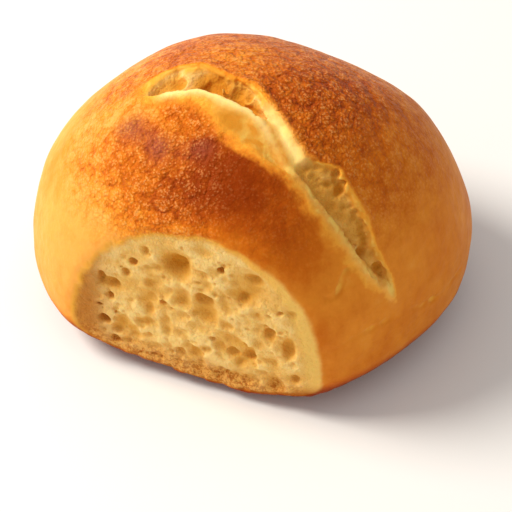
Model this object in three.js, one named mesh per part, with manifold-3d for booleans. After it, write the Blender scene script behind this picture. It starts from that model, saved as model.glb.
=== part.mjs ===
// A round bread roll, baked in one piece: a tall leaning dome with a rounded underside, a flat spot
// to rest on, a slice cut off one side and a score that has burst open across the crown.
// Millimetres. +Z is up and the cut face looks along -Y.
import * as THREE from "three";
import { mergeVertices } from "three/addons/utils/BufferGeometryUtils.js";
import Module from "manifold-3d";

// The dome, before anything is cut off it.
const BELLY_LENGTH = 122; // widest level, along its long axis
const BELLY_WIDTH = 108; // widest level, across its long axis
const BELLY_TURN = THREE.MathUtils.degToRad(10); // long axis, round from +X
const CORNER_SWELL = 1.7; // how far the outline swells at its four soft corners
const CORNER_TURN = THREE.MathUtils.degToRad(28);
const CROWN_RISE = 65; // belly level to the top
const CROWN_POWER = 2.03; // 2 is an ellipse, more is boxier
const CROWN_LEAN = 8.5; // the risen crown leans towards the cut
const UNDERSIDE_DEPTH = 18; // belly level to the lowest point
const UNDERSIDE_POWER = 2.8;

// What is cut off it.
const BASE_PRESS = 1.5; // how much of the underside the baking sheet pressed flat
const CUT_FROM_CENTRE = 44.8; // the slice goes off this far from the dome's middle
const CRUST_MARGIN = 20; // how far a cutting block reaches past the dome

// The score: a trench along a curve that is set out in plan, from its wide end to its narrow one.
const SCORE_PLAN = [
  [-26, -9],
  [-9, -11],
  [9, -17],
  [26, -23.5],
  [41, -26],
  [49, -23],
];
const SCORE_STEPS = 60;
const SCORE_HALF_WIDTH_START = 8.5;
const SCORE_HALF_WIDTH_END = 4;
const SCORE_DEPTH_START = 4.2;
const SCORE_DEPTH_END = 2.4;
const SCORE_LIP = 0.9; // the torn edges stand this proud of the dome
const SCORE_RUN_OUT = 0.12; // share of the score's length over which each end fades

// The larger open cells of the crumb. across runs from -1 to 1 between the face's edges at that
// height, up runs from 0 to 1 over the face's height, and radius is in millimetres.
const CELLS = [
  { across: -0.22, up: 0.77, radius: 3.1 },
  { across: 0.08, up: 0.56, radius: 2.3 },
  { across: 0.11, up: 0.47, radius: 1.9 },
  { across: 0.47, up: 0.67, radius: 2.0 },
  { across: 0.66, up: 0.81, radius: 2.2 },
  { across: 0.33, up: 0.26, radius: 1.8 },
  { across: 0.48, up: 0.26, radius: 1.8 },
  { across: 0.78, up: 0.4, radius: 2.3 },
  { across: 0.63, up: 0.46, radius: 1.8 },
  { across: 0.7, up: 0.25, radius: 1.5 },
  { across: -0.76, up: 0.51, radius: 1.8 },
  { across: -0.66, up: 0.62, radius: 1.4 },
  { across: -0.7, up: 0.41, radius: 1.4 },
  { across: -0.77, up: 0.25, radius: 1.3 },
];

const DOME_DETAIL = 17; // subdivisions of the icosahedron behind the dome
const CELL_SEGMENTS = 10;
const CELL_RINGS = 7;
const SEARCH_STEPS = 40; // halvings when a point on the crust is searched for

const BELLY_HEIGHT = UNDERSIDE_DEPTH - BASE_PRESS;
const wasm = await Module();
wasm.setup();

// How far the belly's outline lies from the dome's middle, seen from above.
function bellyRadius(round) {
  const along = Math.cos(round - BELLY_TURN) / (BELLY_LENGTH / 2);
  const across = Math.sin(round - BELLY_TURN) / (BELLY_WIDTH / 2);
  return 1 / Math.hypot(along, across) + CORNER_SWELL * Math.cos(4 * (round - CORNER_TURN));
}

// Below 1 inside the dome, 1 on its crust, above 1 outside. The point is upright, with no lean,
// and its height is counted from the belly's level.
function gauge(x, y, height) {
  const upper = height >= 0;
  const power = upper ? CROWN_POWER : UNDERSIDE_POWER;
  const reach = upper ? CROWN_RISE : UNDERSIDE_DEPTH;
  const across = Math.hypot(x, y) / bellyRadius(Math.atan2(y, x));
  return (across ** power + (Math.abs(height) / reach) ** power) ** (1 / power);
}

// How far the crown has leant over at a height above the belly.
function leanAt(height) {
  return -CROWN_LEAN * (Math.max(height, 0) / CROWN_RISE) ** 2;
}

// Is this point of the part inside the dome?
function insideDome(x, y, z) {
  const height = z - BELLY_HEIGHT;
  return gauge(x, y - leanAt(height), height) < 1;
}

// Halves the stretch between an inside and an outside value until it meets the crust.
function searchEdge(inside, outside, isInside) {
  let near = inside;
  let far = outside;
  for (let step = 0; step < SEARCH_STEPS; step += 1) {
    const middle = (near + far) / 2;
    if (isInside(middle)) near = middle;
    else far = middle;
  }
  return near;
}

// The crust's height over a point in plan.
function crustHeight(x, y) {
  const top = BELLY_HEIGHT + CROWN_RISE + 1;
  return searchEdge(BELLY_HEIGHT, top, (z) => insideDome(x, y, z));
}

// The score's middle line, laid up onto the dome.
function scoreLine() {
  const plan = new THREE.SplineCurve(SCORE_PLAN.map(([x, y]) => new THREE.Vector2(x, y)));
  return plan
    .getSpacedPoints(SCORE_STEPS)
    .map(({ x, y }) => new THREE.Vector3(x, y, crustHeight(x, y)));
}

// How deep the score has opened at a point of the crust. Negative on its raised lips.
function scoreDepth(point, line) {
  let nearest = Infinity;
  let along = 0;
  line.forEach((step, index) => {
    const distance = step.distanceTo(point);
    if (distance >= nearest) return;
    nearest = distance;
    along = index / SCORE_STEPS;
  });
  const halfWidth = THREE.MathUtils.lerp(SCORE_HALF_WIDTH_START, SCORE_HALF_WIDTH_END, along);
  const depth = THREE.MathUtils.lerp(SCORE_DEPTH_START, SCORE_DEPTH_END, along);
  const fade = THREE.MathUtils.smoothstep(Math.min(along, 1 - along), -0.02, SCORE_RUN_OUT);
  const trench = 1 - THREE.MathUtils.smoothstep(nearest / halfWidth, 0.35, 1);
  const lip = Math.exp(-(((nearest / halfWidth - 1.15) / 0.3) ** 2));
  return fade * (depth * trench - SCORE_LIP * lip);
}

// A direction from the dome's middle becomes a point on the crust, leant and scored.
function crustPoint(direction, line) {
  const reach = 1 / gauge(direction.x, direction.y, direction.z);
  const point = direction.clone().multiplyScalar(reach);
  point.y += leanAt(point.z);
  point.z += BELLY_HEIGHT;
  const inward = direction.clone().normalize();
  return point.addScaledVector(inward, -scoreDepth(point, line));
}

function domeGeometry() {
  const geometry = new THREE.IcosahedronGeometry(1, DOME_DETAIL);
  const position = geometry.getAttribute("position");
  const line = scoreLine();
  const direction = new THREE.Vector3();
  for (let index = 0; index < position.count; index += 1) {
    direction.fromBufferAttribute(position, index);
    const { x, y, z } = crustPoint(direction, line);
    position.setXYZ(index, x, y, z);
  }
  return geometry;
}

// A closed three.js geometry as a solid that can be cut.
function solidOf(geometry) {
  const bare = geometry.clone();
  bare.deleteAttribute("normal");
  bare.deleteAttribute("uv");
  const merged = mergeVertices(bare, 1e-4);
  const vertProperties = merged.getAttribute("position").array;
  const triVerts = new Uint32Array(merged.index.array);
  return new wasm.Manifold(new wasm.Mesh({ numProp: 3, vertProperties, triVerts }));
}

// A cut solid back as a three.js geometry.
function geometryOf(solid) {
  const mesh = solid.getMesh();
  const geometry = new THREE.BufferGeometry();
  geometry.setAttribute("position", new THREE.BufferAttribute(mesh.vertProperties, 3));
  geometry.setIndex(new THREE.BufferAttribute(mesh.triVerts, 1));
  return geometry;
}

// A block larger than the dome in plan and height.
function cuttingBlock() {
  const side = 2 * (BELLY_LENGTH + CRUST_MARGIN);
  return new THREE.BoxGeometry(side, side, side);
}

// Everything beyond the cut, where the slice came off.
function sliceBlock() {
  const block = cuttingBlock();
  const half = block.parameters.depth / 2;
  return block.translate(0, -CUT_FROM_CENTRE - half, 0);
}

// Everything below the flat spot.
function sheetBlock() {
  const block = cuttingBlock();
  const half = block.parameters.depth / 2;
  return block.translate(0, 0, -half);
}

// The cut face's lowest and highest points, and its left and right edges at a height.
function faceSpan() {
  const inFace = (z) => insideDome(0, -CUT_FROM_CENTRE, z);
  const top = BELLY_HEIGHT + CROWN_RISE;
  const below = BELLY_HEIGHT - UNDERSIDE_DEPTH;
  return {
    low: Math.max(0, searchEdge(BELLY_HEIGHT, below, inFace)),
    high: searchEdge(BELLY_HEIGHT, top, inFace),
  };
}

function faceEdges(z) {
  const inFace = (x) => insideDome(x, -CUT_FROM_CENTRE, z);
  return {
    left: searchEdge(0, -BELLY_LENGTH, inFace),
    right: searchEdge(0, BELLY_LENGTH, inFace),
  };
}

// One open cell of the crumb: a ball centred on the cut face.
function cellGeometry({ across, up, radius }, { low, high }) {
  const z = THREE.MathUtils.lerp(low, high, up);
  const { left, right } = faceEdges(z);
  const x = THREE.MathUtils.lerp(left, right, (across + 1) / 2);
  const ball = new THREE.SphereGeometry(radius, CELL_SEGMENTS, CELL_RINGS);
  return ball.translate(x, -CUT_FROM_CENTRE, z);
}

function rollGeometry() {
  let roll = solidOf(domeGeometry());
  roll = roll.subtract(solidOf(sliceBlock()));
  roll = roll.subtract(solidOf(sheetBlock()));
  const span = faceSpan();
  CELLS.forEach((cell) => {
    roll = roll.subtract(solidOf(cellGeometry(cell, span)));
  });
  return geometryOf(roll);
}

// The part's origin is under the middle of its own box, on the surface it rests on.
function standOnOrigin(geometry) {
  geometry.computeBoundingBox();
  const { min, max } = geometry.boundingBox;
  return geometry.translate(-(min.x + max.x) / 2, -(min.y + max.y) / 2, -min.z);
}

function breadRoll() {
  const baked = new THREE.MeshStandardMaterial({
    color: 0xc9781f,
    roughness: 0.62,
    metalness: 0,
    flatShading: true,
  });
  const roll = new THREE.Mesh(standOnOrigin(rollGeometry()), baked);
  roll.name = "bread_roll";
  return roll;
}

const part = new THREE.Group();
part.add(breadRoll());

export default part;
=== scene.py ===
# %% [markdown]
# # A torn and sliced bread roll
#
# A bread roll is one piece of dough. Heat sets the outside into a brown crust, gas blows the inside
# into an open crumb, and where the baker scored the top the dough bursts and shows paler skin. One
# slice has been cut off this roll, so its crumb can be seen from the side.
#
# The roll is carved here as a block of numbers, a signed distance grid: each cell of the grid says
# how far it lies outside the dough. A rounded dome, a knife cut, a burst score and over a thousand gas
# bubbles are then simple sums and comparisons, and the skin of the result is turned into one mesh.
# Pushing vertices of a sphere about would be quicker, but it can't make a bubble that undercuts.

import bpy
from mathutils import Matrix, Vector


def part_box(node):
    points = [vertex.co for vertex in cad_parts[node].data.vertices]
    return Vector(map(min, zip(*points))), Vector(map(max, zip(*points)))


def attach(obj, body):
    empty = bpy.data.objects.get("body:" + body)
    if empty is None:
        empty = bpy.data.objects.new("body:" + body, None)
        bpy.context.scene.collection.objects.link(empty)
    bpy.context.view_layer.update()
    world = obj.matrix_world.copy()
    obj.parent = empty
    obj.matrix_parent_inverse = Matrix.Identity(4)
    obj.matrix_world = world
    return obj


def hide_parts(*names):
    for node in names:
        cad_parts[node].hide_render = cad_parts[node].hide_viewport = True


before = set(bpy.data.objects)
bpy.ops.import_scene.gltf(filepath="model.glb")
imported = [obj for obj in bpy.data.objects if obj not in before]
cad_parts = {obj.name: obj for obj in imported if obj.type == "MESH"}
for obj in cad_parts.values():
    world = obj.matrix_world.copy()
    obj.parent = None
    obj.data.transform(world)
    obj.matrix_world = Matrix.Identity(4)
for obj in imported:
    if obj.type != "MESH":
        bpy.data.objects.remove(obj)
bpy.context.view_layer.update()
cad_low, cad_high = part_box("bread_roll")
print("CAD roll, metres:", [round(v, 4) for v in cad_low], [round(v, 4) for v in cad_high])

# %% [markdown]
# ## Tools
#
# numpy works out the grid, openvdb lays a skin on it, and bmesh cleans that skin. All lengths below
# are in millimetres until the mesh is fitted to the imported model, which is in metres.

# %% The libraries that the later cells need
import math
import time

import bmesh
import bpy
import numpy as np
import openvdb
from mathutils import Vector

MM = 0.001
NUDGE = 0.3  # a short step, to find which way a surface faces
started = time.perf_counter()
print("Blender", bpy.app.version_string, "with numpy", np.__version__)

# %% [markdown]
# ## The dome
#
# The roll rose into a tall dome with a rounded underside, and it leans a little. A superellipse does
# this with few numbers: one length, one width and one rise, and a power that says how boxy the curve
# is. The CAD part has the same sizes, written out in its own source, so a change is made in both.

# %% Sizes of the dome, millimetres
BELLY_LENGTH = 122
BELLY_WIDTH = 108
BELLY_TURN = math.radians(10)
CORNER_SWELL = 1.7
CORNER_TURN = math.radians(28)
CROWN_RISE = 65
CROWN_POWER = 2.03
CROWN_LEAN = 8.5
UNDERSIDE_DEPTH = 18
UNDERSIDE_POWER = 2.8
BASE_PRESS = 1.5
BELLY_HEIGHT = UNDERSIDE_DEPTH - BASE_PRESS
CUT_FROM_CENTRE = 44.8


def belly_radius(turn):
    along = np.cos(turn - BELLY_TURN) / (BELLY_LENGTH / 2)
    across = np.sin(turn - BELLY_TURN) / (BELLY_WIDTH / 2)
    return 1 / np.hypot(along, across) + CORNER_SWELL * np.cos(4 * (turn - CORNER_TURN))


def dome_gauge(x, y, z):
    """Below 1 inside the dome, 1 on its crust and above 1 outside."""
    height = z - BELLY_HEIGHT
    lean = -CROWN_LEAN * (np.maximum(height, 0) / CROWN_RISE) ** 2
    y = y - lean
    across = np.hypot(x, y) / belly_radius(np.arctan2(y, x))
    upper = height >= 0
    power = np.where(upper, CROWN_POWER, UNDERSIDE_POWER)
    reach = np.where(upper, CROWN_RISE, UNDERSIDE_DEPTH)
    return (across**power + (np.abs(height) / reach) ** power) ** (1 / power)


def dome_distance(x, y, z):
    """Millimetres outside the dome, close enough near its crust: the gauge over its own slope."""
    step = 0.25
    here = dome_gauge(x, y, z)
    slope = np.sqrt(
        (dome_gauge(x + step, y, z) - here) ** 2
        + (dome_gauge(x, y + step, z) - here) ** 2
        + (dome_gauge(x, y, z + step) - here) ** 2
    ) / step
    return (here - 1) / np.maximum(slope, 1e-6)


print("belly", BELLY_LENGTH, "x", BELLY_WIDTH, "mm, risen", CROWN_RISE, "mm above it")


# %% [markdown]
# ## The grid
#
# The grid is a box of small cubes around the dome. Finer cubes show smaller bubbles, but halving
# them costs eight times the memory, so they are about as small as the finest bubble needs.

# %% Lay out the grid
CELL = 0.4
MARGIN = 3.0
low = np.array([-BELLY_LENGTH / 2 - MARGIN, -CUT_FROM_CENTRE - MARGIN, -MARGIN])
high = np.array([BELLY_LENGTH / 2, BELLY_WIDTH / 2 + 2, BELLY_HEIGHT + CROWN_RISE]) + MARGIN
shape = np.ceil((high - low) / CELL).astype(int) + 1
axis_x, axis_y, axis_z = [low[k] + CELL * np.arange(shape[k]) for k in range(3)]
grid_x = axis_x[:, None, None].astype(np.float32)
grid_y = axis_y[None, :, None].astype(np.float32)
grid_z = axis_z[None, None, :].astype(np.float32)
print("grid of", shape, "=", round(np.prod(shape) / 1e6, 1), "million cells")


# %% [markdown]
# ## Soft unevenness
#
# Dough is never even. A smooth random field makes it so: random numbers on a coarse lattice, joined
# by cubic curves along each of the three axes in turn. That is quick even on millions of cells.

# %% Smooth random fields
SPLINE_GAIN = 1.8  # cubic curves flatten the random numbers, and this makes up for it


def spline_weights(positions, start, spacing, count):
    """Row by row, how much each lattice number counts at each position along one axis."""
    spot = (positions - start) / spacing
    base = np.floor(spot).astype(int)
    part = spot - base
    weights = np.zeros((len(positions), count), dtype=np.float32)
    rows = np.arange(len(positions))
    for offset, weight in (
        (0, (1 - part) ** 3 / 6),
        (1, (3 * part**3 - 6 * part**2 + 4) / 6),
        (2, (-3 * part**3 + 3 * part**2 + 3 * part + 1) / 6),
        (3, part**3 / 6),
    ):
        weights[rows, base + offset] = weight
    return weights


def soft_field(axes, spacing, seed):
    """A smooth field over the box of three axes, mostly between -1 and 1."""
    random = np.random.default_rng(seed)
    counts = [int((axis[-1] - axis[0]) / spacing) + 5 for axis in axes]
    field = random.uniform(-1, 1, counts).astype(np.float32) * SPLINE_GAIN
    for place, axis in enumerate(axes):
        weights = spline_weights(axis, axis[0] - spacing / 2, spacing, counts[place])
        field = np.moveaxis(np.tensordot(weights, field, axes=(1, place)), 0, place)
    return field


field = dome_distance(grid_x, grid_y, grid_z).astype(np.float32)
print("dome done", round(time.perf_counter() - started, 1), "s")
axes = (axis_x, axis_y, axis_z)
field += 0.5 * soft_field(axes, 24, 11) + 0.2 * soft_field(axes, 9, 12)
field += 0.15 * soft_field(axes, 3.2, 13)

# Swellings of the crust: middle x, y, z, then reach and height.
SWELLINGS = [
    (36, 31, 55, 13, 1.0),
    (-30, 20, 66, 13, 0.5),
    (-38, -44, 10, 13, 1.1),
    (32, -46, 8, 12, 1.2),
    (57, 23, 27, 10, 0.5),
]
for x, y, z, reach, height in SWELLINGS:
    gap = ((grid_x - x) ** 2 + (grid_y - y) ** 2 + (grid_z - z) ** 2) / reach**2
    field -= height * np.exp(-gap)
print("dome on the grid in", round(time.perf_counter() - started, 1), "s")


# %% [markdown]
# ## The score
#
# The blade ran over the crown in a curve and down the right side. In the oven the dough pushed out
# of it: a wide opening at the left end with a thin torn lip, and a narrow groove at the right end. It
# is set out as a curve in plan that is laid up onto the dome, with a cross-section that changes
# along it.

# %% The score's middle line
SCORE_PLAN = np.array([[-26, -9], [-9, -11], [9, -17], [26, -23.5], [41, -26], [49, -23]], float)
SCORE_STEPS = 90
POINTS_AT_ONCE = 50000


def curve_through(points, steps):
    """Evenly spaced points on a Catmull-Rom curve through a few points."""
    ends = np.vstack([2 * points[0] - points[1], points, 2 * points[-1] - points[-2]])
    fine = []
    for a, b, c, d in zip(ends[:-3], ends[1:-2], ends[2:-1], ends[3:]):
        part = np.linspace(0, 1, 40, endpoint=False)[:, None]
        bend = (2 * a - 5 * b + 4 * c - d) * part**2 + (3 * b - a - 3 * c + d) * part**3
        fine.append(0.5 * (2 * b + (c - a) * part + bend))
    fine = np.vstack(fine + [points[-1:]])
    length = np.concatenate([[0], np.cumsum(np.linalg.norm(np.diff(fine, axis=0), axis=1))])
    even = np.linspace(0, length[-1], steps)
    return np.column_stack([np.interp(even, length, fine[:, k]) for k in range(fine.shape[1])])


def crust_height(x, y):
    """The crust's height over points in plan, by halving the stretch that holds it."""
    inside = np.full(x.shape, BELLY_HEIGHT, float)
    outside = np.full(x.shape, BELLY_HEIGHT + CROWN_RISE + 1.0)
    for _ in range(30):
        middle = (inside + outside) / 2
        is_in = dome_gauge(x, y, middle) < 1
        inside = np.where(is_in, middle, inside)
        outside = np.where(is_in, outside, middle)
    return inside


plan = curve_through(SCORE_PLAN, SCORE_STEPS)
line = curve_through(np.column_stack([plan, crust_height(plan[:, 0], plan[:, 1])]), SCORE_STEPS)
tangent = np.gradient(line, axis=0)
tangent /= np.linalg.norm(tangent, axis=1)[:, None]
steps = NUDGE * np.eye(3)
normal = np.column_stack([dome_gauge(*(line + step).T) - dome_gauge(*line.T) for step in steps])
normal /= np.linalg.norm(normal, axis=1)[:, None]
sideways = np.cross(normal, tangent)
score_length = np.linalg.norm(np.diff(line, axis=0), axis=1).sum()
print("the score is", round(score_length, 1), "mm long")


def score_place(points):
    """For each point: how far along the score it lies, from 0 to 1, and how far to its back side."""
    along = np.empty(len(points))
    across = np.empty(len(points))
    for start in range(0, len(points), POINTS_AT_ONCE):
        chunk = slice(start, start + POINTS_AT_ONCE)
        part = points[chunk]
        gap = ((part[:, None, :] - line[None, :, :]) ** 2).sum(2)
        nearest = gap.argmin(1)
        offset = part - line[nearest]
        forward = (offset * tangent[nearest]).sum(1) / score_length
        along[chunk] = nearest / (SCORE_STEPS - 1) + forward
        across[chunk] = (offset * sideways[nearest]).sum(1)
    return along, across


# %% [markdown]
# ## The score's cross-section
#
# Seen across, the opening has a soft front slope, a thin ridge, a drop behind it and a back wall that
# climbs to the other lip. Each of these is a short list of values at stations along the score, from 0
# at the wide end to 1 at the narrow end. At one station a bridge of dough was left standing.

# %% The score's cross-section, which changes along it
STATIONS = [0.00, 0.07, 0.13, 0.19, 0.24, 0.29, 0.35, 0.41, 0.48, 0.54, 0.62, 0.70, 0.79, 0.90, 1.06]
FRONT_EDGE = [-9.0, -9.5, -9.2, -8.2, -8.4, -9.6, -11.4, -11.4, -8.8, -6.3, -6.1, -6.3, -6.6, -5.9, -4.0]
RIDGE = [-7.0, -7.2, -5.9, -3.9, -2.6, -1.8, -0.7, -1.2, -2.6, -3.9, -3.6, -3.9, -3.4, -3.5, -2.1]
BACK_EDGE = [-1.5, 5.2, 6.9, 5.6, 4.9, 6.3, 4.8, 3.2, 1.8, 1.1, 5.8, 5.0, 4.2, 1.6, -1.8]
RIDGE_SINK = [0.1, -0.1, -0.6, -0.8, -0.6, -0.3, 0.4, 1.2, 1.4, 0.9, 0.3, 0.1, -0.1, -0.4, -0.3]
FLOOR_SINK = [0.3, 3.4, 5.2, 5.4, 4.7, 4.0, 3.0, 2.0, 1.7, 1.4, 2.4, 2.5, 2.2, 1.7, 0.0]
WALL_POWER = [1.0, 0.6, 0.6, 0.6, 0.7, 0.9, 1.0, 1.0, 1.0, 1.0, 0.8, 0.7, 0.7, 0.8, 1.0]
LIP_RISE = [0.0, 0.2, 0.4, 0.5, 0.5, 0.5, 0.6, 0.6, 0.5, 0.3, 0.3, 0.3, 0.2, 0.1, 0.0]


def along_score(values, along):
    return np.interp(along, STATIONS, values)


def smooth_step(value, low_end, high_end):
    part = np.clip((value - low_end) / (high_end - low_end), 0, 1)
    return part * part * (3 - 2 * part)


def drawn_out(along):
    """1 where the dough was only drawn out and stayed smooth, 0 where it tore."""
    return smooth_step(along, 0.34, 0.41) * smooth_step(along, 0.58, 0.52)


def score_sink(along, across):
    """How deep the opening lies below the crust, in millimetres. Negative on its raised lips."""
    front, ridge = along_score(FRONT_EDGE, along), along_score(RIDGE, along)
    back = along_score(BACK_EDGE, along)
    ridge_sink, deep = along_score(RIDGE_SINK, along), along_score(FLOOR_SINK, along)
    bridge = np.exp(-(((along - 0.247 + 0.008 * across) / 0.013) ** 2))
    deep = deep * (1 - 0.75 * bridge)
    floor = ridge + 1.0 + 1.8 * drawn_out(along) + 0.9 * smooth_step(along, 0.58, 0.64)
    on_slope = np.clip((across - front) / (ridge - front), 0, 1)
    sag = 0.9 * smooth_step(along, 0.15, 0.35) * smooth_step(along, 0.58, 0.5)
    sag = sag * np.sin(np.pi * on_slope) ** 2
    sink = ridge_sink * smooth_step(on_slope, 0.0, 1.0) + sag
    into_gap = smooth_step(across, ridge, floor)
    wall = np.clip((across - floor) / (back - floor), 0, 1)
    wall_sink = deep * (1 - wall) ** along_score(WALL_POWER, along)
    sink = np.where(across > ridge, ridge_sink + (wall_sink - ridge_sink) * into_gap, sink)
    rise = along_score(LIP_RISE, along) * np.exp(-((np.maximum(across - back, 0) / 2.4) ** 2))
    rise = rise * smooth_step(across, back - 1.5, back + 0.5)
    opened = np.where((across > front) & (across < back), sink, 0)
    fade = smooth_step(along, -0.03, 0.05) * (1 - smooth_step(along, 1.05, 1.14))
    return fade * (opened - rise)


print("the score is at most", max(FLOOR_SINK), "mm deep")


# %% [markdown]
# ## Carving it
#
# Torn dough has no straight edge, so the cross-section is looked up with a little random shift to
# either side. The same shift is kept in a grid of its own, because the finish needs it again: colour
# and shape must tear along the same line. The back wall gets lumps and folds, and the slope none.

# %% Carve the score out of the grid
NEAR_CRUST = 8
SCORE_REACH = 16
FOLDS = 42
FOLD_SEED = 35


def span_of(axis, start, end):
    return slice(max(0, int((start - axis[0]) / CELL)), int((end - axis[0]) / CELL) + 1)


crust_field = field.copy()
span = (span_of(axis_x, -44, 64), span_of(axis_y, -43, 10), span_of(axis_z, 34, 84))
span_axes = [axis[part] for axis, part in zip(axes, span)]
near = np.argwhere(np.abs(field[span]) < NEAR_CRUST)
spots = np.column_stack([axis[near[:, k]] for k, axis in enumerate(span_axes)])
along, across = score_place(spots)
in_reach = (np.abs(across) < SCORE_REACH) & (along > -0.05) & (along < 1.12)
near, along, across = near[in_reach], along[in_reach], across[in_reach]
index = tuple(near.T)
ragged = np.zeros_like(field)
ragged[span] = 0.6 * soft_field(span_axes, 5, 31) + 0.35 * soft_field(span_axes, 1.8, 32)
ragged[span] += 0.15 * soft_field(span_axes, 0.9, 36)
across += ragged[span][index]
sunk = score_sink(along, across)
lumpy = 0.7 * soft_field(span_axes, 2.8, 33)[index] + 0.35 * soft_field(span_axes, 1.3, 34)[index]
behind = smooth_step(across - along_score(RIDGE, along), 0.2, 1.2)
behind *= 1 - 0.9 * drawn_out(along)
folds = np.random.default_rng(FOLD_SEED).uniform(-1.0, 1.0, FOLDS)
folded = np.interp(along + 0.006 * lumpy, np.linspace(0, 1, FOLDS), folds)
lumpy = lumpy + folded * smooth_step(along, 0.4, 0.3)
sunk += lumpy * smooth_step(sunk, 0.6, 1.6) * behind
part = field[span]
part[index] += sunk.astype(np.float32)
print("score carved in", round(time.perf_counter() - started, 1), "s on", len(near), "cells")


# %% [markdown]
# ## The knife cut and the base
#
# The knife leaves a nearly flat face. Seen close, the walls between the bubbles stand a little proud
# and the crumb between them is pressed in. Near the bottom the crumb is dry and crumbly, so the
# face is rougher there. The cut rounds over into the crust more on the right, where it tore.

# %% The knife cut and the flat base
SLAB_DEPTH = 7
EDGE_ROUNDING = 0.8
WIDE_EDGE_ROUNDING = 4.5
BASE_ROUNDING = 0.8


def soft_larger(a, b, blend):
    """The larger of two fields, with the corner between them rounded."""
    share = np.clip(0.5 + 0.5 * (a - b) / blend, 0, 1)
    return b + (a - b) * share + blend * share * (1 - share)


slab = slice(0, int((SLAB_DEPTH + MARGIN) / CELL))
slab_axes = (axis_x, axis_y[slab], axis_z)
crumble = smooth_step(axis_z, 11.0, 5.5)[None, None, :].astype(np.float32)
walls = np.minimum(np.abs(soft_field(slab_axes, 4.5, 20)), 0.8)
face_wave = 0.25 * soft_field(slab_axes, 8, 21) + 0.35 * walls + 0.16 * soft_field(slab_axes, 2.2, 22)
face_wave += (0.16 + 0.35 * crumble) * soft_field(slab_axes, 1.1, 23)
face_wave += 0.45 * crumble * soft_field(slab_axes, 2.4, 24)
field[:, slab, :] += crumble * 0.6 * soft_field(slab_axes, 1.7, 25)
cut = -(grid_y[:, slab] + CUT_FROM_CENTRE) * np.ones_like(face_wave) + face_wave
rounding = EDGE_ROUNDING + WIDE_EDGE_ROUNDING * smooth_step(grid_x, 12, 34)
field[:, slab, :] = soft_larger(field[:, slab, :], cut, rounding)
field = soft_larger(field, -grid_z, BASE_ROUNDING)
print("cut in", round(time.perf_counter() - started, 1), "s")


# %% [markdown]
# ## The bubbles
#
# Gas bubbles are balls that have been squeezed out of round, and the knife has opened those that lay
# in its way. The largest are placed one by one, because they are what the eye remembers; hundreds of
# small ones are strewn about at random, from a fixed seed so that the roll is always the same.

# %% Bubbles that the knife opened: across, up, wide, tall, deep, and how soft the rim is
POCKETS = [
    (-4.3, 45.5, 7.0, 7.8, 3.4, 2.6),
    (3.2, 35.2, 5.4, 4.4, 2.6, 1.0),
    (3.6, 30.0, 5.4, 5.6, 1.5, 1.6),
    (14.3, 40.0, 4.0, 4.8, 2.4, 0.9),
    (16.3, 44.9, 9.6, 9.0, 1.3, 0.8),
    (17.0, 47.6, 4.4, 3.4, 2.2, 0.7),
    (8.2, 48.3, 2.2, 2.3, 2.2, 0.3),
    (11.3, 17.8, 3.7, 4.2, 2.2, 0.7),
    (15.9, 18.0, 4.2, 4.2, 2.2, 0.7),
    (27.1, 24.8, 4.2, 7.6, 2.4, 1.0),
    (21.9, 28.7, 3.4, 5.2, 2.0, 0.7),
    (23.1, 18.1, 3.5, 3.8, 1.3, 0.6),
    (24.0, 9.9, 4.4, 4.6, 1.8, 0.8),
    (29.2, 14.0, 2.8, 3.6, 2.0, 0.5),
    (-26.5, 33.4, 2.1, 4.6, 2.2, 0.4),
    (-23.4, 31.9, 4.7, 3.5, 2.2, 0.7),
    (-24.2, 26.9, 2.2, 3.0, 2.0, 0.4),
    (-19.3, 38.0, 2.2, 3.0, 1.8, 0.4),
    (-16.8, 42.3, 2.4, 2.7, 1.8, 0.4),
    (-13.4, 48.0, 2.1, 3.4, 1.6, 0.4),
    (-26.5, 17.7, 3.4, 3.6, 2.6, 0.4),
    (-12.8, 26.1, 3.4, 4.4, 1.5, 0.7),
    (-2.9, 33.3, 3.4, 5.4, 1.4, 0.7),
    (-23.9, 10.2, 2.6, 2.7, 1.8, 0.4),
    (-16.2, 34.5, 2.9, 3.1, 1.0, 0.6),
    (-11.2, 36.3, 3.5, 4.6, 1.0, 0.8),
    (3.5, 53.6, 4.7, 3.1, 0.9, 0.6),
    (8.3, 38.2, 1.8, 5.4, 1.0, 0.4),
    (28.0, 38.3, 4.1, 3.1, 1.3, 0.5),
    (11.9, 23.2, 4.1, 3.8, 0.9, 0.5),
    (18.8, 23.9, 2.9, 3.5, 0.9, 0.5),
    (24.9, 44.0, 4.1, 3.1, 0.8, 0.5),
]


def carve_bubble(centre, half, rim):
    """Takes one squeezed ball out of the grid, working only on the cells around it."""
    lowest = np.maximum(((centre - half - 2 - low) / CELL).astype(int), 0)
    highest = np.minimum(((centre + half + 2 - low) / CELL).astype(int) + 2, shape)
    if (highest <= lowest).any():
        return
    part = tuple(slice(a, b) for a, b in zip(lowest, highest))
    here = (
        grid_x[part[0]] - centre[0] + warp[0][part],
        grid_y[:, part[1]] - centre[1] + warp[1][part],
        grid_z[:, :, part[2]] - centre[2] + warp[2][part],
    )
    gauge = np.sqrt((here[0] / half[0]) ** 2 + (here[1] / half[1]) ** 2 + (here[2] / half[2]) ** 2)
    field[part] = soft_larger(field[part], (1 - gauge) * half.min(), rim)


FARTHEST_BUBBLE = 14.0
BUBBLE_SEED = 7
DISHES = 480
PORES = 320
warp_axes = (axis_x, axis_y[: int((FARTHEST_BUBBLE - low[1]) / CELL)], axis_z)
warp = [
    0.5 * soft_field(warp_axes, 2.6, seed) + 0.3 * soft_field(warp_axes, 1.3, seed + 10)
    for seed in (41, 42, 43)
]
for x, z, wide, tall, deep, rim in POCKETS:
    centre = np.array([x, -CUT_FROM_CENTRE + 0.1, z])
    carve_bubble(centre, np.array([wide / 2, deep, tall / 2]), 0.3 + 1.2 * rim)

chance = np.random.default_rng(BUBBLE_SEED)


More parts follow.
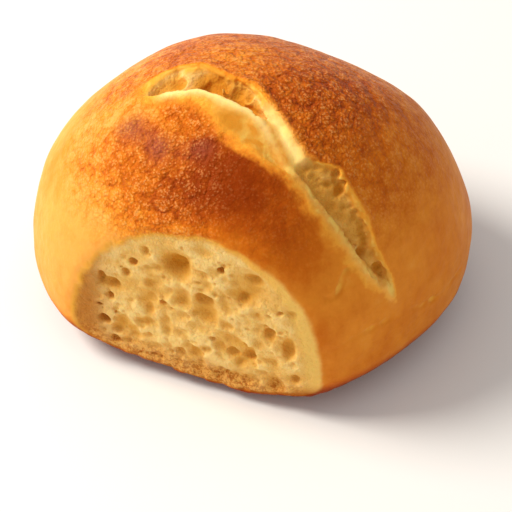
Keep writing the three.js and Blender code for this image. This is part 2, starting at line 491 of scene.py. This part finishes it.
def face_spot(sunk, within):
    """A random spot of the cut face, sunk this far behind it, and this deep inside the crust."""
    while True:
        x, z = chance.uniform(-35, 35), chance.uniform(4.5, 59)
        if dome_gauge(x, -CUT_FROM_CENTRE, z) < within:
            return np.array([x, -CUT_FROM_CENTRE + sunk, z])


# Shallow dishes: bubbles that the knife only just caught. Their edges are the thin walls between.
for _ in range(DISHES):
    radius = 0.7 + 2.2 * chance.random() ** 2
    spot = face_spot(-chance.uniform(0.6, 0.9) * radius, 0.968 - 0.02 * radius)
    carve_bubble(spot, radius * chance.uniform(0.8, 1.3, 3), 0.6)

# Deeper pores.
for _ in range(PORES):
    radius = 0.3 + 0.5 * chance.random() ** 3
    spot = face_spot(chance.uniform(-0.2, 0.7) * radius, 0.965)
    carve_bubble(spot, radius * chance.uniform(0.7, 1.4, 3), 0.45)
print("face bubbles carved in", round(time.perf_counter() - started, 1), "s")


# %% [markdown]
# ## Creases
#
# The crust on the right stretched like a skin and folded a little where it was pulled. Each fold is a
# shallow furrow: a string of small balls that only just touch the crust, deepest halfway along.

# %% Two creases in the crust, as points on it in millimetres
CREASES = [
    [(40.9, -29.9, 48.8), (39.0, -33.2, 47.2), (37.9, -37.0, 42.9), (35.6, -39.5, 42.3)],
    [(38.0, -41.5, 25.7), (46.4, -31.5, 27.4), (52.0, -22.1, 26.5), (57.6, -9.5, 22.6), (60.5, 4.9, 21.7)],
]
CREASE_RADIUS = 1.6
CREASE_DEPTH = 0.3
CREASE_STEPS = 60


def outward(spot):
    """The direction that points straight out of the dome."""
    rise = np.array([dome_gauge(*(spot + step)) - dome_gauge(*spot) for step in NUDGE * np.eye(3)])
    return rise / np.linalg.norm(rise)


for path in CREASES:
    for step, spot in enumerate(curve_through(np.array(path), CREASE_STEPS)):
        cell = tuple(np.round((spot - low) / CELL).astype(int))
        furrow = CREASE_DEPTH * math.sin(math.pi * (step + 0.5) / CREASE_STEPS)
        centre = spot + outward(spot) * (CREASE_RADIUS - furrow - crust_field[cell])
        carve_bubble(centre, np.full(3, CREASE_RADIUS), 0.4)
print(len(CREASES), "creases pressed in, at most", CREASE_DEPTH, "mm deep")

# %% [markdown]
# ## Torn dough
#
# The same bubbles show where the score tore the dough open. The larger ones are placed one by one along
# the opening, a row of them digs out the foot of the back wall so that the lip in front stands clear,
# and small ones are strewn over the torn stretches. The drawn-out middle stays smooth.

# %% Bubbles in the torn dough of the score: along, across, radius, how far its middle is buried
HOLLOWS = [
    (0.09, 0.0, 2.8, -1.9),
    (0.185, 0.8, 3.2, -1.6),
    (0.215, 1.5, 2.0, -0.6),
    (0.27, 2.6, 2.2, -1.0),
    (0.29, 0.6, 1.6, -0.5),
    (0.57, 0.0, 1.6, -0.3),
    (0.585, 2.0, 1.4, -0.2),
    (0.60, 0.2, 1.2, 0.1),
    (0.61, 3.4, 1.0, 0.3),
    (0.63, 4.9, 1.5, 0.4),
    (0.645, 4.0, 1.1, 0.5),
    (0.64, 1.6, 1.3, -0.1),
    (0.675, 3.4, 1.5, 0.5),
    (0.665, 4.6, 1.2, 0.5),
    (0.68, 2.2, 1.2, 0.2),
    (0.70, 0.0, 1.4, -0.5),
    (0.715, 1.9, 0.9, 0.5),
    (0.725, 3.0, 1.0, 0.3),
    (0.75, 3.2, 1.1, 0.5),
    (0.765, 2.2, 1.2, 0.2),
    (0.785, 2.6, 0.9, 0.7),
    (0.80, 2.2, 0.9, 0.8),
    (0.815, 1.8, 0.9, 0.8),
    (0.83, 1.4, 0.9, 0.8),
    (0.845, 1.0, 0.8, 0.6),
    (0.86, -1.3, 1.7, -0.1),
    (0.88, 0.2, 1.3, 0.1),
    (0.925, -0.2, 1.1, 0.6),
    (0.94, -0.6, 1.2, 0.8),
    (0.96, -1.0, 1.1, 0.6),
]


TWICE_CROWN_RADIUS = 110


def score_spot(along_here, across_here, buried):
    """The point on the opened score at a place along and across it, pushed into the dough."""
    step = along_here * (SCORE_STEPS - 1)
    base = min(int(step), SCORE_STEPS - 2)
    on_line = line[base] + (line[base + 1] - line[base]) * (step - base)
    sunk_here = float(score_sink(np.array(along_here), np.array(across_here)))
    fall = sunk_here + buried + across_here**2 / TWICE_CROWN_RADIUS
    return on_line + sideways[base] * across_here - normal[base] * fall


for along_here, across_here, radius, buried in HOLLOWS:
    carve_bubble(score_spot(along_here, across_here, buried), np.full(3, radius), 0.5)

# Gaps at the foot of the back wall, so that the front lip stands before a dark line.
for along_here in np.arange(0.075, 0.228, 0.004):
    wide = 1.2 + 0.35 * math.sin(60 * along_here)
    foot = along_score(RIDGE, along_here) + 3.7
    carve_bubble(score_spot(along_here, foot, 0.7), np.full(3, wide) * chance.uniform(0.9, 1.1), 0.4)
for along_here in np.arange(0.305, 0.385, 0.004):
    foot = along_score(RIDGE, along_here) + 2.2
    carve_bubble(score_spot(along_here, foot, 0.6), np.full(3, 0.9) * chance.uniform(0.8, 1.2), 0.3)


def torn_spot(sunk, start):
    """A random spot of the torn dough, buried this deep, past this share of the score's length."""
    along_here = chance.uniform(start, 0.97)
    while drawn_out(along_here) > 0.3:
        along_here = chance.uniform(start, 0.97)
    ridge_here, back_here = along_score(RIDGE, along_here), along_score(BACK_EDGE, along_here)
    across_here = ridge_here + 0.6 + chance.uniform(0.05, 0.95) * (back_here - ridge_here - 1.2)
    return score_spot(along_here, across_here, sunk)


TORN_DISHES = 150
TORN_PORES = 80
for _ in range(TORN_DISHES):
    radius = 0.7 + 0.9 * chance.random()
    spot = torn_spot(-chance.uniform(0.5, 0.85) * radius, 0.2)
    carve_bubble(spot, radius * chance.uniform(0.8, 1.25, 3), 0.6)
for _ in range(TORN_PORES):
    radius = 0.35 + 0.5 * chance.random() ** 2
    carve_bubble(torn_spot(0.1, 0.5), radius * chance.uniform(0.8, 1.3, 3), 0.3)
print("all bubbles carved in", round(time.perf_counter() - started, 1), "s")

# %% [markdown]
# ## From grid to mesh
#
# The skin is laid where the distance passes through zero. It comes out as a net of small squares.

# %% Turn the grid into one closed mesh
FAR_OUTSIDE = 5.0
volume = openvdb.FloatGrid(FAR_OUTSIDE)
volume.copyFromArray(np.ascontiguousarray(field.astype(np.float32)))
points, triangles, quads = volume.convertToPolygons(0.0, 0.0)
print("skin:", len(points), "points,", len(quads), "quads")
mesh = bpy.data.meshes.new("baked_roll")
# The corners of each face are taken in reverse order, which turns all faces to the inside.
faces = [tuple(reversed(corners)) for corners in quads.tolist() + triangles.tolist()]
mesh.from_pydata((low + points * CELL).tolist(), [], faces)
mesh.update()
roll = bpy.data.objects.new("baked_roll", mesh)
bpy.context.scene.collection.objects.link(roll)

# %% [markdown]
# ## One body
#
# The walk starts at the top of the roll and follows the edges of the mesh. What it can't reach is a
# loose crumb or the inside of a closed bubble, and both are taken away.

# %% Keep the largest body
sculpt = bmesh.new()
sculpt.from_mesh(mesh)
sculpt.verts.ensure_lookup_table()
seen = np.zeros(len(sculpt.verts), dtype=bool)
stack = [max(sculpt.verts, key=lambda vert: vert.co.z)]
seen[stack[0].index] = True
while stack:
    vert = stack.pop()
    for edge in vert.link_edges:
        other = edge.other_vert(vert)
        if not seen[other.index]:
            seen[other.index] = True
            stack.append(other)
loose = [vert for vert in sculpt.verts if not seen[vert.index]]
bmesh.ops.delete(sculpt, geom=loose, context="VERTS")
sculpt.to_mesh(mesh)
sculpt.free()
print("took away", len(loose), "loose points in", round(time.perf_counter() - started, 1), "s")

# %% [markdown]
# ## Fewer triangles
#
# The skin has far more faces than the smooth crust needs. Blender's decimate tool merges them where
# the surface is flat and leaves the rims of the bubbles sharp.

# %% Thin the mesh
MOST_TRIANGLES = 195000
lighter = roll.modifiers.new("lighter", "DECIMATE")
lighter.ratio = min(1.0, MOST_TRIANGLES / (2 * len(mesh.polygons)))
bpy.context.view_layer.update()
finished = roll.evaluated_get(bpy.context.evaluated_depsgraph_get())
thinned = bpy.data.meshes.new_from_object(finished)
roll.modifiers.clear()
roll.data = thinned
thinned.name = "baked_roll"
thinned.polygons.foreach_set("use_smooth", np.ones(len(thinned.polygons), dtype=bool))
print("thinned to", len(thinned.polygons), "faces in", round(time.perf_counter() - started, 1), "s")

# %% [markdown]
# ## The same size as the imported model
#
# The random unevenness moves the outermost points by a fraction of a millimetre. Stretching the mesh
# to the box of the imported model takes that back, and turns millimetres into metres.

# %% Fit into the CAD box
count = len(thinned.vertices)
places = np.empty(count * 3)
thinned.vertices.foreach_get("co", places)
places = places.reshape(-1, 3)
surface_low, surface_high = places.min(0), places.max(0)
cad_low, cad_high = np.array(cad_low), np.array(cad_high)
stretch = (cad_high - cad_low) / (surface_high - surface_low)
print("stretch to the CAD box:", (stretch / MM).round(4))
middle = cad_low - surface_low * stretch
print("the dome's middle lies at", (middle / MM).round(2))
thinned.vertices.foreach_set("co", (cad_low + (places - surface_low) * stretch).ravel())
thinned.update()


# %% [markdown]
# ## Where it browned
#
# An oven browns the top most and the sides least, but one side of this roll stayed golden, and the
# dark patches are where the crust was closest to the heat. These measures are stored as one number
# per vertex and the finish reads them: how deep below the crust, how torn, how brown.

# %% Read the measures at every vertex
def write_numbers(name, values):
    made = thinned.attributes.new(name, "FLOAT", "POINT")
    made.data.foreach_set("value", np.asarray(values, dtype=np.float32))


def read_grid(grid, spots):
    """The grid's value at each spot, blended from the eight cells around it."""
    cell = (spots - low) / CELL
    base = np.clip(cell.astype(int), 0, shape - 2)
    part = cell - base
    total = np.zeros(len(spots))
    for corner in range(8):
        step = np.array([corner & 1, corner >> 1 & 1, corner >> 2 & 1])
        weight = np.prod(np.where(step, part, 1 - part), axis=1)
        total += weight * grid[tuple((base + step).T)]
    return total


x, y, z = places.T
depth = -read_grid(crust_field, places)
along, across = score_place(places)
waver = read_grid(soft_field(axes, 3.5, 51), places)
fine_waver = read_grid(soft_field(axes, 1.5, 54), places)
front, ridge, back = (along_score(edge, along) for edge in (FRONT_EDGE, RIDGE, BACK_EDGE))
in_length = smooth_step(along, -0.04, 0.05) * (1 - smooth_step(along, 1.02, 1.12)) * (z > 25)
torn_across = across + read_grid(ragged, places)
lead = 2.5 + 1.6 * smooth_step(along, 0.47, 0.56)
torn = np.clip((torn_across + 1.0 * waver - front + lead) / 6.5, 0, 1)
narrow = smooth_step(along, 0.56, 0.64)
torn *= (1 - smooth_step(torn_across, back - 0.6, back + 0.6 + 1.9 * narrow)) * in_length
past_ridge = smooth_step(torn_across - ridge, 0.1 + 0.8 * narrow, 0.7 + 1.0 * narrow)
past_ridge = past_ridge * (1 - drawn_out(along))
slope = in_length * smooth_step(torn_across, front - 1, front) * (1 - past_ridge)
rim_reach = 0.8 + 0.5 * waver + (0.8 + 0.4 * waver) * smooth_step(along, 0.15, 0.25)
past_back = np.maximum(torn_across - back, 0)
rim = smooth_step(torn_across, back - 1.5, back) * np.exp(-((past_back / rim_reach) ** 2))
rim *= in_length * smooth_step(along, 0.62, 0.52) * (0.6 + 0.4 * smooth_step(along, 0.16, 0.28))
# Paler colour on the ridge and on the back wall of the drawn-out middle: partly the pale torn crumb,
# partly a painted highlight.
on_ridge = np.exp(-(((torn_across - ridge + 0.5) / 1.2) ** 2))
pale = on_ridge * smooth_step(along, 0.05, 0.11) * (1 - 0.85 * smooth_step(along, 0.36, 0.5))
on_wall = np.exp(-(((torn_across - back + 1.5) / 1.5) ** 2))
pale = np.maximum(pale, 0.9 * drawn_out(along) * on_wall)
pale *= in_length
sunk_here = np.maximum(score_sink(along, torn_across), 0) * in_length
# Painted shade: the crumb is darkened by how far a spot lies behind the cut face or below the opened
# score, and more in the narrow groove.
in_score = in_length * smooth_step(torn_across, ridge, ridge + 1) * smooth_step(depth, 0.5, 1.0)
wall_shade = in_score * (0.7 * np.maximum(depth - 1.2, 0) + 0.7 * smooth_step(along, 0.5, 0.6))
recess_shade = np.minimum(depth - sunk_here, y + CUT_FROM_CENTRE) + wall_shade
print(round(100 * (torn > 0.5).mean(), 1), "% of the vertices lie on torn dough")

# %% [markdown]
# ## How brown
#
# Browning runs from 0, golden, to 1, dark brown. It rises with height, and listed patches make it
# differ from side to side. A few small scorch marks lie on the shoulder in front of the score. The
# grain says where the crust is pebbled and dull. On the right it was stretched smooth and shines.

# %% Patches that baked darker or stayed paler: middle x, y, z, then reach and strength
PATCHES = [
    (-50, -20, 42, 26, -0.24),
    (-50, -27, 47, 11, 0.22),
    (-40, -2, 62, 18, -0.34),
    (-44, -38, 25, 20, -0.20),
    (-38, -38, 45, 20, -0.22),
    (-26, -42, 52, 10, -0.12),
    (-12, -41, 60, 9, 0.14),
    (-28, -19, 73, 8, -0.30),
    (-34, -22, 67, 9, -0.20),
    (-20, -21, 76, 6, -0.30),
    (-4, -39, 66, 8, 0.20),
    (7, -35, 71, 11, 0.48),
    (-2, -30, 76, 3.5, 0.75),
    (19, -38, 65, 11, 0.22),
    (28, -39, 55, 9, 0.14),
    (-4, 6, 80, 12, -0.18),
    (14, 1, 79, 12, 0.14),
    (28, 0, 75, 12, 0.12),
    (38, -2, 67, 10, -0.08),
    (44, -30, 42, 12, -0.06),
]
# Small dark marks: middle x, y, z, reach and strength.
MARKS = [
    (-23, -26, 73, 4.0, 1.0),
    (-27, -26, 71, 2.5, 0.5),
    (-14, -31, 73, 3.5, 1.1),
    (-18, -29, 74, 2.5, 0.4),
    (-2, -30, 76, 2.5, 0.7),
    (-6, -31, 74, 3.0, 0.4),
    (-31, -14, 73, 1.8, 0.6),
]


# Patches of torn skin that lie in the shade of a fold: middle x, y, z, reach and strength.
SHADED = [
    (2, -21, 80, 5.0, 0.9),
    (-7, -8, 78, 8.0, 1.0),
    (12, -22, 78, 3.0, 0.4),
]


def nearness(spot, reach):
    return np.exp(-((x - spot[0]) ** 2 + (y - spot[1]) ** 2 + (z - spot[2]) ** 2) / reach**2)


browning = 0.34 + 0.30 * smooth_step(z, 45, 75)
for px, py, pz, reach, strength in PATCHES:
    browning = browning + strength * nearness((px, py, pz), 0.91 * reach)
cut_edge = np.exp(-np.maximum(y + CUT_FROM_CENTRE, 0) / 1.6) * smooth_step(z, 8, 14)
# Towards the base the crust is painted darker, a painted shade where the roll sits near the floor; along
# the knife's edge it is a little paler.
browning += 0.85 * smooth_step(z, 15, 7) - 0.10 * cut_edge
browning += 0.08 * read_grid(soft_field(axes, 7, 52), places)
browning += 0.05 * read_grid(soft_field(axes, 3, 53), places)
grain = smooth_step(z, 42, 62) * (1 - 0.6 * smooth_step(x, 20, 50)) * (1 - smooth_step(-x, 36, 50))
grain *= (1 - 0.85 * smooth_step(x, -8, 12) * smooth_step(-y, 22, 30)) * (1 - torn)
browning += 0.03 * grain
marks = sum(strength * nearness((px, py, pz), reach) for px, py, pz, reach, strength in MARKS)
shaded = sum(strength * nearness((px, py, pz), reach) for px, py, pz, reach, strength in SHADED) * torn
bottom = smooth_step(z + 1.8 * waver + 1.4 * fine_waver, 15.5, 6.0) * smooth_step(depth, 0.2, 0.8)
# Painted shade on the left end of the cut face.
left_end_shade = smooth_step(x + 1.5 * waver, -20, -32)
wide_edge = smooth_step(x, 10, 30) * smooth_step(-y, 35, 40)
for name, values in {
    "depth": depth,
    "torn": torn,
    "rim": rim,
    "recess_shade": recess_shade,
    "browning": browning,
    "marks": marks,
    "grain": grain,
    "bottom": bottom,
    "left_end_shade": left_end_shade,
    "wide_edge": wide_edge,
    "slope": slope,
    "pale": pale,
    "shaded": shaded,
    "in_groove": in_length * smooth_step(along, 0.55, 0.62) * smooth_step(torn_across, -9, -7),
    "low_edge": smooth_step(z, 14, 7),
}.items():
    write_numbers(name, values)
print("measured in", round(time.perf_counter() - started, 1), "s")


# %% [markdown]
# ## The finish
#
# Everything is one material, because crust and crumb are the same dough. How deep a spot lies below
# the crust decides between them. The crust goes from gold to dark brown with the browning, broken
# up by noise from a half to four millimetres in size. The crumb is cream on its proud walls and
# amber inside its bubbles: a painted shade that deepens the farther a spot lies behind the surface.

# %% Helpers that build the node tree
baked = bpy.data.materials.new("baked dough")
baked.use_nodes = True
tree = baked.node_tree
shader = tree.nodes["Principled BSDF"]


def wire(source, socket):
    """Plugs a node's output, or a plain value, into a socket."""
    if isinstance(source, bpy.types.NodeSocket):
        tree.links.new(source, socket)
    else:
        socket.default_value = source


def number(name):
    node = tree.nodes.new("ShaderNodeAttribute")
    node.attribute_name = name
    return node.outputs["Fac"]


def calc(operation, a, b=0.0, clamp=False):
    node = tree.nodes.new("ShaderNodeMath")
    node.operation = operation
    node.use_clamp = clamp
    wire(a, node.inputs[0])
    wire(b, node.inputs[1])
    return node.outputs[0]


def add(*values):
    total = values[0]
    for value in values[1:]:
        total = calc("ADD", total, value)
    return total


def times(a, b):
    return calc("MULTIPLY", a, b)


def spread(value, amount):
    """Noise from 0 to 1 turned into an offset either side of zero."""
    return times(calc("SUBTRACT", value, 0.5), amount)


def fit_range(value, low_end, high_end, new_low=0.0, new_high=1.0):
    node = tree.nodes.new("ShaderNodeMapRange")
    node.interpolation_type = "SMOOTHSTEP"
    wire(value, node.inputs["Value"])
    node.inputs["From Min"].default_value = low_end
    node.inputs["From Max"].default_value = high_end
    node.inputs["To Min"].default_value = new_low
    node.inputs["To Max"].default_value = new_high
    return node.outputs[0]


def ramp(value, *stops):
    node = tree.nodes.new("ShaderNodeValToRGB")
    wire(value, node.inputs[0])
    band = node.color_ramp
    while len(band.elements) < len(stops):
        band.elements.new(0.5)
    for element, (spot, colour) in zip(band.elements, stops):
        element.position = spot
        element.color = (*colour, 1)
    return node.outputs[0]


def blend(share, a, b):
    node = tree.nodes.new("ShaderNodeMix")
    node.data_type = "RGBA"
    wire(share, node.inputs["Factor"])
    wire(a if isinstance(a, bpy.types.NodeSocket) else (*a, 1), node.inputs["A"])
    wire(b if isinstance(b, bpy.types.NodeSocket) else (*b, 1), node.inputs["B"])
    return node.outputs["Result"]


place = tree.nodes.new("ShaderNodeTexCoord").outputs["Object"]


def noise(size, detail=3.0, squeeze=(1, 1, 1), distort=0.0):
    """Noise whose blotches are about size millimetres across."""
    mapping = tree.nodes.new("ShaderNodeMapping")
    wire(place, mapping.inputs["Vector"])
    mapping.inputs["Scale"].default_value = squeeze
    node = tree.nodes.new("ShaderNodeTexNoise")
    wire(mapping.outputs[0], node.inputs["Vector"])
    node.inputs["Scale"].default_value = 1 / (size * MM)
    node.inputs["Detail"].default_value = detail
    node.inputs["Distortion"].default_value = distort
    return node.outputs["Fac"]


stirred = tree.nodes.new("ShaderNodeVectorMath")
stirred.operation = "MULTIPLY_ADD"
stir = tree.nodes.new("ShaderNodeTexNoise")
wire(place, stir.inputs["Vector"])
stir.inputs["Scale"].default_value = 1 / (1.4 * MM)
wire(stir.outputs["Color"], stirred.inputs[0])
stirred.inputs[1].default_value = (0.0012, 0.0012, 0.0012)
wire(place, stirred.inputs[2])
wavy_place = stirred.outputs[0]


def pebbles(size):
    """Rounded cells about size millimetres across: 0 in the middle of each, larger at its edge."""
    node = tree.nodes.new("ShaderNodeTexVoronoi")
    wire(wavy_place, node.inputs["Vector"])
    node.inputs["Scale"].default_value = 1 / (size * MM)
    return times(node.outputs["Distance"], node.outputs["Distance"])


print("helpers ready, with", len(tree.nodes), "nodes so far")

# %% [markdown]
# ## Crust
#
# Noise of several sizes shifts the browning a little before it is turned into colour. Round cells of
# about one and three millimetres give the pebbled skin that a baked crust has, and the tops of the
# smallest ones are paler: tan flecks with painted glints on them. The torn lip at the back glows orange,
# because it is thin and was browned last.

# %% Crust colour
FLECK_AND_GLINT = (0.80, 0.38, 0.13)
SCORCH = (0.33, 0.07, 0.035)
GLOW = (0.82, 0.25, 0.015)
BRIGHT_GLOW = (0.88, 0.44, 0.07)
fine_grain = noise(0.6, 2.0)
blister = noise(1.5, 3.0)
mottle = noise(3.6, 4.0)
streak = noise(3.0, 3.0, (1.0, 1.0, 0.3))
pebble = pebbles(0.9)
cobble = pebbles(3.0)
grain_here = number("grain")
speckle = add(spread(fine_grain, 0.5), spread(blister, 0.6))
speckle = add(speckle, spread(pebble, 0.35), spread(cobble, 0.4), 0.05)
brown = add(
    number("browning"),
    times(speckle, add(times(grain_here, 0.55), 0.10)),
    times(spread(mottle, 0.7), add(times(grain_here, 0.75), 0.25)),
    spread(streak, 0.2),
)
crust_colour = ramp(
    calc("ADD", brown, 0.0, clamp=True),
    (0.0, (0.84, 0.37, 0.065)),
    (0.25, (0.78, 0.26, 0.022)),
    (0.5, (0.62, 0.145, 0.007)),
    (0.75, (0.44, 0.078, 0.004)),
    (1.0, (0.28, 0.036, 0.002)),
)
# Pale tops of the pebbles: partly tan flecks, partly painted glints.
flecks_and_glints = fit_range(add(pebble, spread(fine_grain, 1.0), spread(cobble, 0.4)), 0.08, -0.14)
crust_colour = blend(times(flecks_and_glints, times(grain_here, 0.38)), crust_colour, FLECK_AND_GLINT)
scorch = times(calc("MAXIMUM", number("marks"), 0.0), fit_range(fine_grain, 0.35, 0.6, 0.6, 1.0))
crust_colour = blend(times(calc("ADD", scorch, 0.0, clamp=True), 0.9), crust_colour, SCORCH)
flame = add(number("rim"), spread(blister, 0.7), spread(mottle, 0.5))
crust_colour = blend(fit_range(flame, 0.15, 0.8), crust_colour, GLOW)
crust_colour = blend(fit_range(flame, 0.75, 1.3), crust_colour, BRIGHT_GLOW)
print("crust colour made of", len(tree.nodes), "nodes")

# %% [markdown]
# ## Torn skin and crumb
#
# Skin that opened late in the oven is gold at its edge and pale yellow in the middle. The crumb is
# cream, with painted shade that darkens it the deeper it lies. Near the base it is gritty and browned,
# and the left end of the cut is darker tan, a painted shade. Where the knife meets the crust a thin
# band is toasted, and on the right it is wide and pale gold: toasted crumb with a painted glow on it.

# %% Torn skin and crumb colour
GOLD_SKIN = (0.78, 0.25, 0.020)
YELLOW_SKIN = (0.90, 0.38, 0.040)
LEFT_END_SHADE_CRUMB = (0.44, 0.14, 0.012)
DARK_GRIT = (0.46, 0.13, 0.012)
PALE_GRIT = (0.76, 0.36, 0.075)
TOASTED = (0.84, 0.40, 0.05)
PALE_TOASTED_GLOW = (0.96, 0.58, 0.14)
LOW_TOASTED = (0.45, 0.12, 0.010)
GROOVE_TOASTED = (0.70, 0.28, 0.030)
SHADE = (0.58, 0.22, 0.018)
CREAM_HIGHLIGHT = (0.95, 0.68, 0.25)
unsure = times(times(number("torn"), calc("SUBTRACT", 1.0, number("torn"))), 4.0)
torn_here = add(number("torn"), times(add(spread(blister, 0.6), spread(mottle, 0.8)), unsure))
surface_colour = blend(fit_range(torn_here, 0.1, 0.5), crust_colour, GOLD_SKIN)
surface_colour = blend(fit_range(torn_here, 0.4, 0.75), surface_colour, YELLOW_SKIN)
pale_skin = ramp(
    noise(5, 3.0, distort=1.0),
    (0.38, (0.88, 0.54, 0.11)),
    (0.60, (0.76, 0.30, 0.030)),
)
surface_colour = blend(fit_range(torn_here, 0.7, 1.0), surface_colour, pale_skin)

# Painted shade: the crumb turns from cream to amber the deeper it lies behind the surface.
painted_recess_shade = times(number("recess_shade"), 0.25)
crumb_colour = ramp(
    add(painted_recess_shade, spread(noise(3.5, 4.0), 0.3), spread(noise(1.2, 3.0), 0.2)),
    (0.0, (0.92, 0.62, 0.22)),
    (0.10, (0.85, 0.50, 0.135)),
    (0.3, (0.76, 0.37, 0.065)),
    (0.8, (0.62, 0.24, 0.020)),
)

# The left end of the cut face is painted a darker tan, a painted shade.
crumb_colour = blend(times(number("left_end_shade"), 0.9), crumb_colour, LEFT_END_SHADE_CRUMB)
grit = fit_range(add(spread(fine_grain, 1.0), spread(blister, 1.0)), -0.15, 0.15)
baked_bottom = blend(grit, DARK_GRIT, PALE_GRIT)
crumb_colour = blend(times(number("bottom"), 0.9), crumb_colour, baked_bottom)

depth_here = calc("SUBTRACT", add(number("depth"), spread(blister, 0.3)), times(number("wide_edge"), 1.3))
# On the wide right edge the toasted band is painted pale gold: partly toasted crumb, partly painted glow
# and highlight.
edge_colour = blend(number("wide_edge"), TOASTED, PALE_TOASTED_GLOW)
edge_colour = blend(number("low_edge"), edge_colour, LOW_TOASTED)
edge_colour = blend(number("in_groove"), edge_colour, GROOVE_TOASTED)
off_slope = calc("SUBTRACT", 1.0, number("slope"))
edge_start = calc("SUBTRACT", number("depth"), times(number("wide_edge"), 0.4))
edge_share = times(fit_range(add(edge_start, spread(blister, 0.25)), 0.2, 0.75), off_slope)
surface_colour = blend(edge_share, surface_colour, edge_colour)
surface_colour = blend(times(fit_range(depth_here, 0.5, 1.5), off_slope), surface_colour, crumb_colour)
surface_colour = blend(number("shaded"), surface_colour, SHADE)
# Cream on the ridge and the drawn-out back wall: pale crumb with a painted highlight.
surface_colour = blend(number("pale"), surface_colour, CREAM_HIGHLIGHT)
wire(surface_colour, shader.inputs["Base Color"])
print("colour made of", len(tree.nodes), "nodes")

# %% [markdown]
# ## Shine and relief
#
# Crust is a little shiny and crumb is not. Both let some light in, which softens the shadows in the
# bubbles. The same pebbles that colour the crust also lift it by a third of a millimetre.

# %% Shine and fine relief
crumb_share = times(fit_range(number("depth"), 0.4, 1.4), off_slope)
roughness = add(0.5, times(crumb_share, 0.25), times(grain_here, -0.08), spread(mottle, 0.2))
wire(roughness, shader.inputs["Roughness"])
shader.inputs["IOR"].default_value = 1.25
shader.inputs["Subsurface Weight"].default_value = 0.25
shader.inputs["Subsurface Radius"].default_value = (1.0, 0.45, 0.15)
shader.inputs["Subsurface Scale"].default_value = 0.003
shader.inputs["Specular IOR Level"].default_value = 0.3
shader.inputs["Specular Tint"].default_value = (1.0, 0.6, 0.25, 1)

relief = times(add(times(fine_grain, 0.7), times(blister, 1.3)), add(times(grain_here, 0.9), 0.08))
relief = add(relief, times(pebble, times(grain_here, -1.0)), times(cobble, times(grain_here, -2.2)))
relief = add(relief, times(mottle, 1.4))
relief = add(relief, times(noise(0.8, 4.0), times(crumb_share, 1.6)))
bump = tree.nodes.new("ShaderNodeBump")
bump.inputs["Strength"].default_value = 1.0
bump.inputs["Distance"].default_value = 0.00035
wire(relief, bump.inputs["Height"])
wire(bump.outputs[0], shader.inputs["Normal"])
thinned.materials.clear()
thinned.materials.append(baked)

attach(roll, "root")
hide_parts("bread_roll")
print("the roll replaces bread_roll with", len(thinned.polygons), "faces and", len(tree.nodes), "nodes")

# %% [markdown]
# ## Camera
#
# It looks down at 45 degrees from a little to the right of the cut face, with a long lens from sixty
# centimetres away, as one would look at a roll on a table.

# %% Camera
def turn_to(ob, target):
    ob.rotation_euler = (Vector(target) - ob.location).to_track_quat("-Z", "Y").to_euler()


ELEVATION = math.radians(45)
AZIMUTH = math.radians(20.9)
DISTANCE = 0.6
AIM_HEIGHT = 0.025
AIM_RIGHT = 0.00105
AIM_DOWN = 0.0110
LENS = 148.8
SENSOR_WIDTH = 36
level = Vector((math.sin(AZIMUTH), -math.cos(AZIMUTH), 0))
to_camera = level * math.cos(ELEVATION) + Vector((0, 0, math.sin(ELEVATION)))
camera_right = Vector((math.cos(AZIMUTH), math.sin(AZIMUTH), 0))
camera_up = to_camera.cross(camera_right)
aim = Vector(middle) + Vector((0, 0, AIM_HEIGHT)) + camera_right * AIM_RIGHT - camera_up * AIM_DOWN
camera_data = bpy.data.cameras.new("camera")
camera = bpy.data.objects.new("camera", camera_data)
bpy.context.scene.collection.objects.link(camera)
camera.location = aim + to_camera * DISTANCE
turn_to(camera, aim)
camera_data.lens = LENS
camera_data.sensor_width = SENSOR_WIDTH
bpy.context.scene.camera = camera
print("camera at", [round(v, 3) for v in camera.location], "with a lens of", camera_data.lens, "mm")

# %% [markdown]
# ## Floor
#
# A plain pale sheet, so that nothing distracts from the roll.

# %% Floor
FLOOR_REACH = 4
floor_corners = [(FLOOR_REACH * a, FLOOR_REACH * b, 0) for a, b in ((-1, -1), (1, -1), (1, 1), (-1, 1))]
floor_mesh = bpy.data.meshes.new("floor")
floor_mesh.from_pydata(floor_corners, [], [(0, 1, 2, 3)])
floor = bpy.data.objects.new("floor", floor_mesh)
bpy.context.scene.collection.objects.link(floor)
floor_paint = bpy.data.materials.new("pale floor")
floor_paint.use_nodes = True
floor_paint.node_tree.nodes["Principled BSDF"].inputs["Base Color"].default_value = (0.86, 0.85, 0.84, 1)
floor_paint.node_tree.nodes["Principled BSDF"].inputs["Roughness"].default_value = 0.8
floor_mesh.materials.append(floor_paint)
print("floor of", [round(v, 1) for v in floor.dimensions], "m")

# %% [markdown]
# ## Light
#
# One large soft lamp stands at the upper left, like a window, and an even pale sky fills the shadows.

# %% Light
def soft_light(name, spot, target, size, power, colour):
    data = bpy.data.lights.new(name, "AREA")
    data.shape = "DISK"
    data.size = size
    data.energy = power
    data.color = colour
    lamp = bpy.data.objects.new(name, data)
    bpy.context.scene.collection.objects.link(lamp)
    lamp.location = spot
    turn_to(lamp, target)
    return lamp


soft_light(
    "key",
    spot=(-0.75, -0.15, 0.8),
    target=(0, 0, 0.04),
    size=0.5,
    power=14,
    colour=(1.0, 0.95, 0.86),
)
world = bpy.data.worlds.new("studio")
bpy.context.scene.world = world
world.use_nodes = True
world.node_tree.nodes["Background"].inputs["Color"].default_value = (1, 0.98, 0.95, 1)
world.node_tree.nodes["Background"].inputs["Strength"].default_value = 0.55
bpy.context.scene.view_settings.view_transform = "Standard"
print("one lamp of", bpy.data.lights["key"].energy, "W and an even sky")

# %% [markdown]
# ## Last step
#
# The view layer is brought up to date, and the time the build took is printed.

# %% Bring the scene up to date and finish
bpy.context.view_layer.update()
print("built in", round(time.perf_counter() - started, 1), "s")
